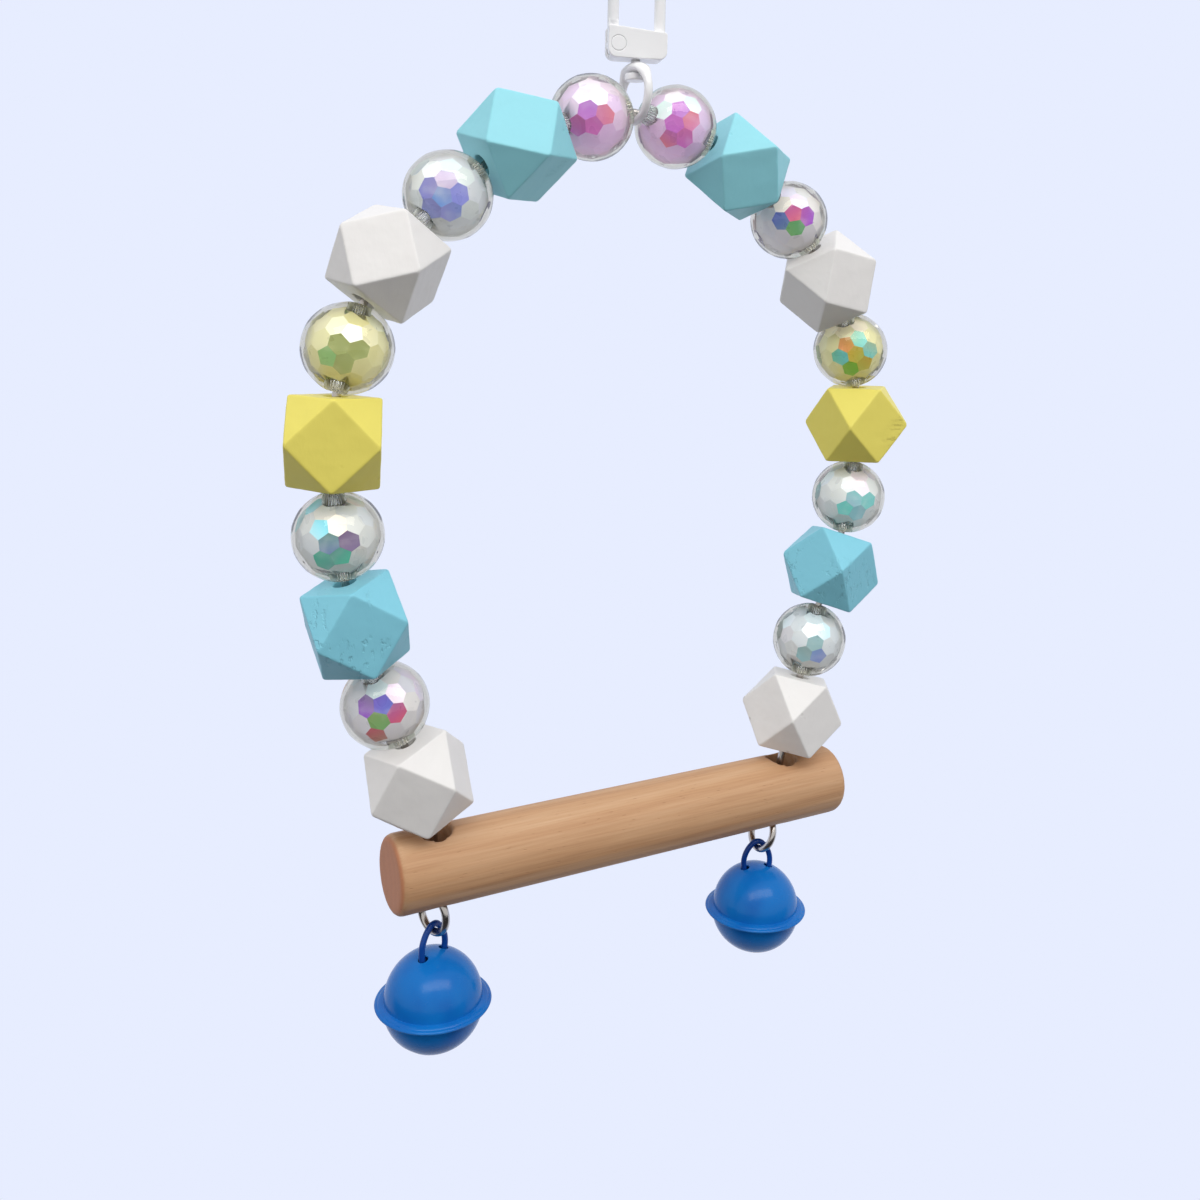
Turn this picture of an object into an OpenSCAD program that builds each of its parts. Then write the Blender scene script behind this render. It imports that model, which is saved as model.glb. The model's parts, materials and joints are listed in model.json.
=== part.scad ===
// Bird swing: a beaded wire arch with a wooden perch and two bells, hung from a swivel clasp.
// Millimetres. Z is up, X runs along the perch and Y points away from the viewer.
// The origin is the hang point, under the middle of the clasp's top bar.

/* [Clasp] */
// Inside height of the clasp, from its block to its top bar
opening_h = 18; // [14:0.5:24]
// Overall width of the clasp
clasp_w = 11.2; // [10.6:0.1:14]
// Diameter of the uprights and the top bar
bar_d = 2.15; // [1.85:0.1:2.25]
// Height of the block at the gate's side
block_h = 5.8; // [5.6:0.1:7]
// Fall of the block's top from the gate's side to the other
block_fall = 0.8; // [0:0.1:1.2]
// Depth of the block
block_d = 4.4; // [4:0.1:6]
// Turn of the clasp over the ring, seen from above
clasp_turn = -18; // [-180:1:180]

/* [Gate] */
// Diameter of the rivet's flush heads
rivet_head_d = 2.8; // [2.2:0.1:3]
// Diameter of the rivet's shank
rivet_d = 1.4; // [1.2:0.1:1.6]
// Thickness of the gate's tang in the block's slot
tang_t = 1.6; // [1.2:0.1:2]
// Outer diameter of the gate spring
gate_spring_d = 1.2; // [1:0.1:1.2]
// Wire diameter of the gate spring
gate_spring_wire = 0.22; // [0.16:0.02:0.24]

/* [Swivel] */
// Outer diameter of the ring
ring_d = 11.8; // [11:0.1:16]
// Diameter of the ring's wire
ring_wire = 1.6; // [1.2:0.1:1.7]
// Height of the ring's yoke
yoke_h = 2; // [1.6:0.1:2.6]
// Thickness of the yoke, along the arch
yoke_t = 3.6; // [3:0.1:4.4]
// Diameter of the pin's disc head
pin_head_d = 4; // [3:0.1:4.4]
// Thickness of the pin's disc head
pin_head_t = 1.3; // [0.8:0.1:1.5]
// Diameter of the pin's shank
pin_d = 1.7; // [1.2:0.1:1.8]

/* [Arch wire] */
// Diameter of the arch wire
wire_d = 1.5; // [1.2:0.1:1.6]
// Radius of the bend that sits in the ring
crown_r = 30; // [26:1:40]
// Radius of the two shoulders
shoulder_r = 77; // [72:0.5:90]
// Radius of the two sides, where the arch is widest
side_r = 50; // [48:0.5:60]
// Radius of the left leg
left_leg_r = 113; // [100:1:130]
// Radius of the right leg
right_leg_r = 90; // [84:1:110]
// Radius of the right leg's outward flare
flare_r = 70; // [66:1:100]
// Radius of the left leg's bend down into the perch
foot_r = 24; // [22:0.5:30]
// Outer diameter of the eyes under the perch
eye_d = 8.6; // [8.2:0.1:10]

/* [Beads] */
// Size of a wooden bead between opposite square faces
wood_size = 16; // [14:0.1:16.2]
// Diameter across a wooden bead's blunted corners
wood_corner_d = 21.8; // [20:0.1:22]
// Bore of a wooden bead
wood_bore_d = 4; // [3.8:0.1:5]
// Diameter of a faceted acrylic bead
acrylic_d = 16.2; // [14:0.1:16.3]
// Diameter of the coloured core inside an acrylic bead
core_d = 9.2; // [6:0.1:12]
// Bore of an acrylic bead and its core
acrylic_bore_d = 3.2; // [3.1:0.1:4]
// Distance along the wire from one bead to the next
bead_pitch = 16.38; // [16.2:0.02:18]
// Distance along the wire from the ring to the first bead
first_bead_s = 9.4; // [9.2:0.1:12]

/* [Perch] */
// Length of the perch
perch_len = 101.6; // [96:0.1:140]
// Diameter of the perch
perch_d = 14.9; // [12:0.1:18]
// Upright holes through the perch
perch_hole_d = 6.8; // [6.4:0.1:7.4]
// Middle of the perch from the middle of the arch
perch_shift = 2.8; // [0:0.1:4]

/* [Bells] */
// Radius of the bell's dome and cup
bell_r = 9; // [8:0.1:12]
// Rise of the dome's centre over the rim, and fall of the cup's
bell_rise = 0.4; // [0.2:0.05:2]
// Diameter of the bell's rim
rim_d = 22; // [20:0.1:26]
// Sheet thickness of the bell
bell_wall = 0.5; // [0.3:0.05:0.8]
// Thickness of the rim on each half
rim_t = 0.55; // [0.4:0.05:0.9]
// Wire diameter of the bell's staple
staple_wire = 1.2; // [0.8:0.1:1.3]
// Width of the staple at its widest, between wire centres
staple_wide = 6.1; // [5.8:0.1:7]
// Diameter of the staple's holes in the dome
staple_hole_d = 2.1; // [1.6:0.1:2.4]
// Height of the staple's top over the bell's rim
staple_h = 15.1; // [14.8:0.1:19]
// Width of the slit in the cup
slit_w = 4.9; // [3:0.1:5.1]
// Distance between the slit's round ends
slit_len = 10.4; // [8:0.1:12]
// Diameter of the ball in the bell
ball_d = 5.4; // [5.2:0.1:6.4]

/* [Hidden] */

// Clearances
running_gap = 0.08;
seat_gap = 0.02;
loose_gap = 0.3;
hang_gap = 0.1;
over = 1;
wire_fn = 48;
bore_fn = 64;
ball_fn = 96;

// Clasp, in its own turned frame
bar_r = bar_d / 2;
bend_r = 2.6;
bar_inset = 0.05;
bar_x = clasp_w / 2 - bar_inset - bar_r;
block_top = -opening_h;
block_bottom = block_top - block_h;
block_corner_low_r = 1.5;
block_corner_top_r = 0.5;
slot_floor_t = 0.55;
hub_r = 1.9;
rivet_x = -clasp_w / 2 + hub_r + seat_gap;
rivet_z = block_bottom + slot_floor_t + hub_r + hang_gap;
rivet_head_t = 0.6;
tang_gap = 0.1;
heel_len = 2.2;
heel_t = 1.2;
slot_end_x = rivet_x + heel_len + loose_gap;
gate_ball_z = block_top + bar_r + hang_gap;
lap_top = -1.9;
lap_low = -4;
lap_gap = 0.1;
spring_x = rivet_x + heel_len - gate_spring_d / 2 - hang_gap;
spring_seat_x = spring_x - gate_spring_d / 2 - hang_gap;
spring_turns = 2.5;
spring_rings_a_turn = 10;
spring_sides = 6;
pin_depth = 2;

// Swivel
ring_r = ring_d / 2;
ring_wire_r = ring_wire / 2;
yoke_top = block_bottom - 2 * hang_gap;
ring_z = yoke_top - ring_r;
yoke_bottom = yoke_top - yoke_h;
yoke_edge_r = 0.7;
pin_head_top = yoke_bottom - loose_gap;
head_edge_r = 0.3;

// Arch wire. A path is its start [x, z, heading] and then its stretches, each a bend radius with
// its angle, or 0 with a length. A negative radius bends outwards. Headings turn down from the X axis.
wire_r = wire_d / 2;
eye_r = eye_d / 2 - wire_r;
crown_z = ring_z - ring_r + ring_wire + wire_r + hang_gap / 2;
crown_turn = 18;
shoulder_turn = 37;
side_turn = 30;
left_leg_turn = 29.5;
left_foot_lead = 1;
right_leg_turn = 28.2;
flare_turn = 9.5;
left_turn_sum = crown_turn + shoulder_turn + side_turn + left_leg_turn;
down_turn = 90;
joint_extra_r = 0.02;
joint_gap = 0.04;
upper_path = [[0, crown_z, 0], [crown_r, crown_turn], [shoulder_r, shoulder_turn], [side_r, side_turn]];

// Length of a stretch
function stretch_len(s) = s[0] == 0 ? s[1] : abs(s[0]) * s[1] * PI / 180;
// Point and heading [x, z, heading] at distance d along a stretch that starts at p
function along(p, s, d) = s[0] == 0
    ? [p[0] + d * cos(p[2]), p[1] - d * sin(p[2]), p[2]]
    : let (a = p[2] + d / s[0] * 180 / PI)
      [p[0] + s[0] * (sin(a) - sin(p[2])), p[1] + s[0] * (cos(a) - cos(p[2])), a];
// End of stretch n of a path
function end_of(path, n) = n == 0 ? path[0] : along(end_of(path, n - 1), path[n], stretch_len(path[n]));
// Length of the path up to the end of stretch n
function len_to(path, n) = n == 0 ? 0 : len_to(path, n - 1) + stretch_len(path[n]);
// Point and heading at distance d along a path, which runs on straight past its end
function at(path, d, n = 1) = n == len(path)
    ? along(end_of(path, n - 1), [0, 0], d - len_to(path, n - 1))
    : d <= len_to(path, n) ? along(end_of(path, n - 1), path[n], d - len_to(path, n - 1))
    : at(path, d, n + 1);

// Bead spins about the wire, in degrees, for the wooden beads from the top down
left_spins = [-30, -33, -17, -7, -28];
right_spins = [-26, 0, -1, 17, 8];
last_bead = 2 * len(left_spins) - 1;
left_curve = concat(upper_path, [[left_leg_r, left_leg_turn]]);
left_straight = first_bead_s + last_bead * bead_pitch + left_foot_lead - len_to(left_curve, len(left_curve) - 1);
left_path = concat(left_curve, [[0, left_straight], [-foot_r, left_turn_sum - down_turn]]);
right_path = concat(upper_path, [[right_leg_r, right_leg_turn], [-flare_r, flare_turn]]);
function path_of(side) = side < 0 ? left_path : right_path;
// A bead lies along the chord of the wire inside it, between the chord and the wire's own middle
bead_half = 8;
function bead_at(side, i) = let (s = first_bead_s + i * bead_pitch, m = at(path_of(side), s),
    a = at(path_of(side), s - bead_half), b = at(path_of(side), s + bead_half))
    [(a[0] + b[0] + 2 * m[0]) / 4, (a[1] + b[1] + 2 * m[1]) / 4, atan2(a[1] - b[1], b[0] - a[0])];

// Perch, which hangs under the lowest beads
perch_r = perch_d / 2;
wood_r = wood_size / 2;
wood_corner_r = wood_corner_d / 2;
wood_face_r = sqrt(wood_corner_r * wood_corner_r - wood_r * wood_r);
function lean_of(side) = abs(bead_at(side, last_bead)[2] - down_turn);
// Turn of a block's nearest corner out of the arch's plane
function corner_turn(spin) = abs(spin) < 45 ? abs(spin) : 90 - abs(spin);
function foot_of(side) = let (spins = side < 0 ? left_spins : right_spins) bead_at(side, last_bead)[1]
    - wood_r * cos(lean_of(side))
    - wood_face_r * cos(corner_turn(spins[len(spins) - 1])) * sin(lean_of(side));
perch_z = min(foot_of(-1), foot_of(1)) - hang_gap - perch_r;
perch_hole_r = perch_hole_d / 2;
perch_edge_r = 1.3;

// Eyes, which carry the perch at the mouths of its holes
eye_out_r = eye_r + wire_r;
eye_z = perch_z - sqrt(perch_r * perch_r - perch_hole_r * perch_hole_r)
    - sqrt(eye_out_r * eye_out_r - perch_hole_r * perch_hole_r) - hang_gap;
eye_turn_left = 20;
eye_turn_right = 0;
eye_lean_turn_left = 0;
eye_lean_turn_right = 20;
eye_arc_turn = 335;
// Point where the wire's last straight stretch reaches height z
function wire_at_z(side, z) = let (p = end_of(path_of(side), len(path_of(side)) - 1))
    [p[0] + (p[1] - z) / tan(p[2]), z, p[2]];
// An eye may lean in from its wire, so its top meets the wire and its foot stands further in
function eye_lean(side) = side < 0 ? eye_lean_turn_left : eye_lean_turn_right;
function eye_x(side) = side * (wire_at_z(side, eye_z + eye_r * cos(eye_lean(side)))[0]
    - eye_r * sin(eye_lean(side)));

// Bells, each in a frame with its rim at z = 0
rim_r = rim_d / 2;
staple_r = staple_wire / 2;
apex_r = 1.6;
apex_turn = 80;
side_bend_turn = (180 - apex_turn) / 2;
side_bend_r = (staple_wide / 2 - apex_r * sin(apex_turn / 2)) / (1 - cos(side_bend_turn));
foot_bend_turn = 20;
foot_bend_r = 1;
staple_w = staple_wide - 2 * (side_bend_r + foot_bend_r) * (1 - cos(foot_bend_turn));
staple_rise = side_bend_r * sin(side_bend_turn) + apex_r * (1 - cos(apex_turn / 2))
    + (side_bend_r + foot_bend_r) * sin(foot_bend_turn);
staple_leg_low = bell_rise + sqrt(pow(bell_r - bell_wall, 2) - pow(staple_w / 2, 2)) - staple_wire - hang_gap;
clinch_len = 1.3;
clinch_turn = 70;
bell_turn_left = 25;
bell_turn_right = -15;
// A bell hangs by the top of its staple from the foot of the eye
eye_seat = wire_r + hang_gap + staple_r;
function bell_x(side) = eye_x(side) - side * eye_r * sin(eye_lean(side));
function pivot_z(side) = eye_z - eye_r * cos(eye_lean(side)) + eye_seat;
ball_r = ball_d / 2;
slit_edge_z = -bell_rise - sqrt(pow(bell_r - bell_wall, 2) - pow(slit_w / 2, 2));
ball_z = slit_edge_z + sqrt(ball_r * ball_r - pow(slit_w / 2, 2)) + hang_gap;

// Unit directions of a faceted ball: centres of the small faces of a twice divided icosahedron
ico_lat = atan(0.5);
ico = concat([[0, 0, 1]],
    [for (k = [0:4]) [cos(ico_lat) * cos(72 * k), cos(ico_lat) * sin(72 * k), sin(ico_lat)]],
    [for (k = [0:4]) [cos(ico_lat) * cos(72 * k + 36), cos(ico_lat) * sin(72 * k + 36), -sin(ico_lat)]],
    [[0, 0, -1]]);
ico_faces = concat(
    [for (k = [0:4]) [0, 1 + k, 1 + (k + 1) % 5]],
    [for (k = [0:4]) [1 + k, 6 + k, 1 + (k + 1) % 5]],
    [for (k = [0:4]) [6 + k, 6 + (k + 1) % 5, 1 + (k + 1) % 5]],
    [for (k = [0:4]) [11, 6 + (k + 1) % 5, 6 + k]]);
function unit(v) = v / norm(v);
function small_face(a, b, c) = unit(unit(a) + unit(b) + unit(c));
gem_points = [for (f = ico_faces) let (a = ico[f[0]], b = ico[f[1]], c = ico[f[2]],
    ab = unit(a + b), bc = unit(b + c), ca = unit(c + a))
    each [small_face(a, ab, ca), small_face(b, bc, ab), small_face(c, ca, bc), small_face(ab, bc, ca)]];

// Colours
white_gloss = [0.95, 0.95, 0.96];
steel = [0.72, 0.72, 0.74];
beech = [0.78, 0.6, 0.44];
bell_blue = [0.07, 0.38, 0.68];
navy = [0.07, 0.17, 0.42];
clear = [0.9, 0.93, 0.95, 0.4];
pink = [0.85, 0.5, 0.75];
pearl = [0.88, 0.9, 0.93];
lemon = [0.85, 0.85, 0.4];
sky = [0.55, 0.82, 0.88];
white_paint = [0.93, 0.92, 0.92];
yellow = [0.88, 0.84, 0.5];
deep_sky = [0.45, 0.75, 0.84];

// Cylinder along Y, centred on the origin
module rod_y(r, h, fn = wire_fn) {
    rotate([90, 0, 0])
        cylinder(r = r, h = h, center = true, $fn = fn);
}

// Round wire of radius r along one stretch of a path in the XZ plane, from point p to just before its end
module wire_stretch(p, s, r) {
    start = along(p, s, joint_gap);
    if (s[0] == 0)
        translate([start[0], 0, start[1]])
            rotate([0, down_turn + p[2], 0])
                cylinder(r = r, h = s[1] - 2 * joint_gap, $fn = wire_fn);
    else {
        turn = s[1] - 2 * (s[0] > 0 ? 1 : -1) * (start[2] - p[2]);
        first = s[0] > 0 ? down_turn - start[2] - turn : -down_turn - start[2];
        translate([p[0] - s[0] * sin(p[2]), 0, p[1] - s[0] * cos(p[2])])
            rotate([90, -first, 0])
                rotate_extrude(angle = turn, $fn = 4 * bore_fn)
                    translate([abs(s[0]), 0])
                        circle(r = r, $fn = wire_fn);
    }
}

// Ball that joins two stretches of wire at point p
module wire_joint(p, r) {
    translate([p[0], 0, p[1]])
        sphere(r = r + joint_extra_r, $fn = wire_fn);
}

// Round wire along a whole path, joined at both ends of every stretch
module wire_path(path, r) {
    for (n = [1:len(path) - 1]) {
        wire_stretch(end_of(path, n - 1), path[n], r);
        wire_joint(end_of(path, n), r);
    }
    wire_joint(path[0], r);
}

// Faceted ball with its corners at radius r
module gem(r) {
    hull()
        polyhedron(points = [for (p = gem_points) p * r],
            faces = [for (k = [0:len(gem_points) - 3]) [0, k + 1, k + 2]]);
}

// Places a bead's own Z axis along the wire, at bead i of a side
module on_wire(side, i) {
    p = bead_at(side, i);
    translate([side * p[0], 0, p[1]])
        rotate([0, side * (p[2] - down_turn), 0])
            children();
}

// Clear shell of an acrylic bead, moulded around its core
module acrylic_bead(side, i) {
    color(clear)
        on_wire(side, i)
            difference() {
                gem(acrylic_d / 2);
                gem(core_d / 2 + seat_gap);
                cylinder(d = acrylic_bore_d, h = 2 * acrylic_d, center = true, $fn = bore_fn);
            }
}

// Coloured faceted core of an acrylic bead
module acrylic_core(side, i, tint) {
    color(tint)
        on_wire(side, i)
            difference() {
                gem(core_d / 2);
                cylinder(d = acrylic_bore_d, h = 2 * core_d, center = true, $fn = bore_fn);
            }
}

// Painted wooden bead with 14 flat faces: a cube cut by an octahedron, its corners blunted by a ball
module wood_bead(side, i, tint) {
    reach = 2 * wood_r;
    spins = side < 0 ? left_spins : right_spins;
    color(tint)
        on_wire(side, i)
            rotate([0, 0, spins[(i - 1) / 2]])
                difference() {
                    intersection() {
                        cube(wood_size, center = true);
                        polyhedron(
                            points = [[reach, 0, 0], [-reach, 0, 0], [0, reach, 0],
                                [0, -reach, 0], [0, 0, reach], [0, 0, -reach]],
                            faces = [[4, 2, 0], [4, 1, 2], [4, 3, 1], [4, 0, 3],
                                [5, 0, 2], [5, 2, 1], [5, 1, 3], [5, 3, 0]]);
                        sphere(d = wood_corner_d, $fn = ball_fn);
                    }
                    cylinder(d = wood_bore_d, h = 2 * wood_size, center = true, $fn = bore_fn);
                }
}

// Everything of the clasp is turned about the swivel's axis
module turned() {
    rotate([0, 0, clasp_turn])
        children();
}

// Block of the clasp, before its slot and holes
module block_body() {
    low_x = clasp_w / 2 - block_corner_low_r;
    top_x = clasp_w / 2 - block_corner_top_r;
    hull() {
        for (x = [-low_x, low_x])
            translate([x, 0, block_bottom + block_corner_low_r])
                rod_y(block_corner_low_r, block_d, 32);
        translate([-top_x, 0, block_top - block_corner_top_r])
            rod_y(block_corner_top_r, block_d, 32);
        translate([top_x, 0, block_top - block_fall - block_corner_top_r])
            rod_y(block_corner_top_r, block_d, 32);
    }
}

// Bars of the clasp: right upright, top bar with round bends, and the nose over the gate
module frame_bars() {
    bend_z = bar_r - bend_r;
    upright_low = block_top - block_fall - over;
    translate([bar_x, 0, upright_low])
        cylinder(r = bar_r, h = bend_z - upright_low, $fn = wire_fn);
    translate([0, 0, bar_r])
        rotate([0, 90, 0])
            cylinder(r = bar_r, h = 2 * (bar_x - bend_r), center = true, $fn = wire_fn);
    for (side = [0, 1])
        mirror([side, 0, 0])
            translate([bar_x - bend_r, 0, bend_z])
                rotate([90, 0, 0])
                    rotate_extrude(angle = 90, $fn = bore_fn)
                        translate([bend_r, 0])
                            circle(r = bar_r, $fn = wire_fn);
    difference() {
        translate([-bar_x, 0, lap_low])
            cylinder(r = bar_r, h = bend_z - lap_low, $fn = wire_fn);
        translate([-bar_x - lap_gap / 2, -bar_d, lap_low - over])
            cube([bar_d, 2 * bar_d, lap_top + lap_gap + over - lap_low]);
    }
}

module clasp_frame() {
    slot_low = block_bottom + slot_floor_t;
    slot_w = tang_t + 2 * tang_gap;
    color(white_gloss)
        turned() {
            difference() {
                block_body();
                translate([-clasp_w, -slot_w / 2, slot_low])
                    cube([clasp_w + slot_end_x, slot_w, block_h]);
                translate([rivet_x, 0, rivet_z])
                    rod_y(rivet_d / 2 + seat_gap, 2 * block_d);
                for (side = [-1, 1])
                    translate([rivet_x, side * (block_d / 2 - rivet_head_t / 2 + over / 2), rivet_z])
                        rod_y(rivet_head_d / 2 + seat_gap, rivet_head_t + over);
                translate([0, 0, block_bottom - over])
                    cylinder(r = pin_d / 2 + seat_gap, h = pin_depth + over, $fn = bore_fn);
            }
            frame_bars();
        }
}

module clasp_gate() {
    color(white_gloss)
        turned() {
            difference() {
                union() {
                    translate([rivet_x, 0, rivet_z])
                        rod_y(hub_r, tang_t);
                    translate([-bar_x - bar_r + hang_gap, -tang_t / 2, rivet_z])
                        cube([bar_d - 2 * hang_gap, tang_t, gate_ball_z - rivet_z]);
                    translate([rivet_x, -tang_t / 2, rivet_z - heel_t / 2])
                        cube([heel_len, tang_t, heel_t]);
                    translate([-bar_x, 0, gate_ball_z])
                        sphere(r = bar_r, $fn = wire_fn);
                    translate([-bar_x, 0, gate_ball_z])
                        cylinder(r = bar_r, h = lap_top - gate_ball_z, $fn = wire_fn);
                }
                translate([rivet_x, 0, rivet_z])
                    rod_y(rivet_d / 2 + running_gap, 2 * tang_t);
                translate([spring_seat_x, -tang_t, rivet_z - heel_t / 2 - hub_r])
                    cube([hub_r, 2 * tang_t, hub_r]);
                translate([-bar_x - bar_d + lap_gap / 2, -bar_d, lap_low - lap_gap])
                    cube([bar_d, 2 * bar_d, lap_top - lap_low + over]);
            }
        }
}

module gate_rivet() {
    color(white_gloss)
        turned()
            translate([rivet_x, 0, rivet_z]) {
                rod_y(rivet_d / 2, block_d);
                for (side = [-1, 1])
                    translate([0, side * (block_d - rivet_head_t) / 2, 0])
                        rod_y(rivet_head_d / 2, rivet_head_t);
            }
}

// Point of the gate spring's centre line at a turn angle
function coil_point(a, r, low, pitch) = [r * cos(a), r * sin(a), low + pitch * a / 360];

module gate_spring() {
    r = (gate_spring_d - gate_spring_wire) / 2;
    low = block_bottom + slot_floor_t + gate_spring_wire / 2 + seat_gap;
    high = rivet_z - heel_t / 2 - gate_spring_wire / 2 - seat_gap;
    pitch = (high - low) / spring_turns;
    count = floor(spring_turns * spring_rings_a_turn);
    step = 360 / spring_rings_a_turn;
    side = 360 / spring_sides;
    points = [for (k = [0:count]) let (c = coil_point(k * step, r, low, pitch))
        for (j = [0:spring_sides - 1]) let (q = gate_spring_wire / 2 * cos(j * side))
            [c[0] + q * cos(k * step), c[1] + q * sin(k * step), c[2] + gate_spring_wire / 2 * sin(j * side)]];
    walls = [for (k = [0:count - 1]) for (j = [0:spring_sides - 1])
        let (a = k * spring_sides + j, b = k * spring_sides + (j + 1) % spring_sides)
            each [[a, b + spring_sides, b], [a, a + spring_sides, b + spring_sides]]];
    first_cap = [for (j = [1:spring_sides - 2]) [0, j, j + 1]];
    last_cap = [for (j = [1:spring_sides - 2]) [0, j + 1, j] + count * spring_sides * [1, 1, 1]];
    color(steel)
        turned()
            translate([spring_x, 0, 0])
                polyhedron(points = points, faces = concat(walls, first_cap, last_cap));
}

module swivel_pin() {
    color(white_gloss) {
        translate([0, 0, pin_head_top - head_edge_r])
            cylinder(d = pin_d, h = block_bottom + pin_depth - pin_head_top + head_edge_r - seat_gap, $fn = bore_fn);
        translate([0, 0, pin_head_top - pin_head_t])
            rotate_extrude($fn = bore_fn) {
                square([pin_head_d / 2 - head_edge_r, pin_head_t]);
                translate([0, head_edge_r])
                    square([pin_head_d / 2, pin_head_t - 2 * head_edge_r]);
                for (z = [head_edge_r, pin_head_t - head_edge_r])
                    translate([pin_head_d / 2 - head_edge_r, z])
                        circle(r = head_edge_r, $fn = wire_fn);
            }
    }
}

// Disc with a round edge, its axis along X
module yoke_disc() {
    flat = yoke_t / 2 - yoke_edge_r;
    rotate([0, 90, 0])
        rotate_extrude($fn = 2 * bore_fn) {
            translate([0, -flat])
                square([ring_r, 2 * flat]);
            translate([0, -yoke_t / 2])
                square([ring_r - yoke_edge_r, yoke_t]);
            for (z = [-flat, flat])
                translate([ring_r - yoke_edge_r, z])
                    circle(r = yoke_edge_r, $fn = wire_fn);
        }
}

module swivel_ring() {
    color(white_gloss)
        difference() {
            translate([0, 0, ring_z])
                union() {
                    rotate([0, 90, 0])
                        rotate_extrude($fn = 2 * bore_fn)
                            translate([ring_r - ring_wire_r, 0])
                                circle(r = ring_wire_r, $fn = wire_fn);
                    intersection() {
                        yoke_disc();
                        translate([-yoke_t, -ring_r, yoke_bottom - ring_z])
                            cube([2 * yoke_t, ring_d, ring_d]);
                    }
                }
            translate([0, 0, yoke_bottom - over])
                cylinder(r = pin_d / 2 + running_gap, h = yoke_h + 2 * over, $fn = bore_fn);
        }
}

// Eye at the lower end of the wire, with its cut end close to the shank
module wire_eye(side) {
    turn = side < 0 ? eye_turn_left : eye_turn_right;
    start = joint_gap / eye_r * 180 / PI;
    translate([eye_x(side), 0, eye_z])
        rotate([0, side * eye_lean(side), turn])
            rotate([0, 90, 0])
                rotate([0, 0, 180 + start])
                    rotate_extrude(angle = eye_arc_turn - start, $fn = 2 * bore_fn)
                        translate([eye_r, 0])
                            circle(r = wire_r, $fn = wire_fn);
}

// The path of a side with its straight end, down to the top of the eye
function full_path(side) = let (path = path_of(side), p = end_of(path, len(path) - 1),
    top = wire_at_z(side, eye_z + eye_r * cos(eye_lean(side))))
    concat(path, [[0, norm([top[0] - p[0], top[1] - p[1]])]]);

module arch_wire() {
    color(steel) {
        wire_path(full_path(1), wire_r);
        mirror([1, 0, 0])
            wire_path(full_path(-1), wire_r);
        for (side = [-1, 1])
            wire_eye(side);
    }
}

module perch() {
    color(beech)
        difference() {
            translate([perch_shift, 0, perch_z])
                rotate([0, 90, 0])
                    rotate_extrude($fn = 2 * bore_fn) {
                        translate([0, -perch_len / 2])
                            square([perch_r - perch_edge_r, perch_len]);
                        translate([0, -perch_len / 2 + perch_edge_r])
                            square([perch_r, perch_len - 2 * perch_edge_r]);
                        for (z = [-1, 1])
                            translate([perch_r - perch_edge_r, z * (perch_len / 2 - perch_edge_r)])
                                circle(r = perch_edge_r, $fn = wire_fn);
                    }
            for (side = [-1, 1]) {
                p = wire_at_z(side, perch_z);
                translate([side * p[0], 0, perch_z])
                    rotate([0, side * (p[2] - down_turn), 0])
                        cylinder(d = perch_hole_d, h = 2 * perch_d, center = true, $fn = bore_fn);
            }
        }
}

// Places a bell's own frame under the eye of a side
module under_eye(side) {
    translate([bell_x(side), 0, pivot_z(side) - staple_h])
        rotate([0, 0, side < 0 ? bell_turn_left : bell_turn_right])
            children();
}

// One half of the bell, rim down
module half_bell() {
    difference() {
        union() {
            intersection() {
                translate([0, 0, bell_rise])
                    sphere(r = bell_r, $fn = ball_fn);
                cylinder(r = rim_r, h = 2 * bell_r, $fn = ball_fn);
            }
            cylinder(r = rim_r, h = rim_t, $fn = ball_fn);
        }
        translate([0, 0, bell_rise])
            sphere(r = bell_r - bell_wall, $fn = ball_fn);
    }
}

module bell_dome(side) {
    color(bell_blue)
        under_eye(side)
            difference() {
                half_bell();
                for (x = [-1, 1])
                    translate([x * staple_w / 2, 0, 0])
                        cylinder(d = staple_hole_d, h = 2 * bell_r, $fn = bore_fn);
            }
}

module bell_cup(side) {
    color(bell_blue)
        under_eye(side)
            difference() {
                mirror([0, 0, 1])
                    half_bell();
                translate([-slit_len / 2, -slit_w / 2, -2 * bell_r])
                    cube([slit_len, slit_w, 2 * bell_r - bell_rise]);
                for (x = [-1, 1])
                    translate([x * slit_len / 2, 0, -2 * bell_r])
                        cylinder(d = slit_w, h = 2 * bell_r - bell_rise, $fn = bore_fn);
            }
}

module bell_staple(side) {
    leg_len = staple_h - staple_rise - staple_leg_low;
    corner = [-staple_w / 2, staple_leg_low, -down_turn];
    path = [corner, [0, leg_len], [-foot_bend_r, foot_bend_turn], [side_bend_r, foot_bend_turn + side_bend_turn],
        [apex_r, apex_turn], [side_bend_r, side_bend_turn + foot_bend_turn], [-foot_bend_r, foot_bend_turn], [0, leg_len]];
    color(navy)
        under_eye(side) {
            wire_path(path, staple_r);
            for (flip = [0, 1])
                mirror([flip, 0, 0])
                    wire_stretch([corner[0], corner[1], down_turn + clinch_turn], [0, clinch_len], staple_r);
        }
}

module bell_ball(side) {
    color(steel)
        under_eye(side)
            translate([0, 0, ball_z])
                sphere(r = ball_r, $fn = ball_fn);
}

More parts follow.
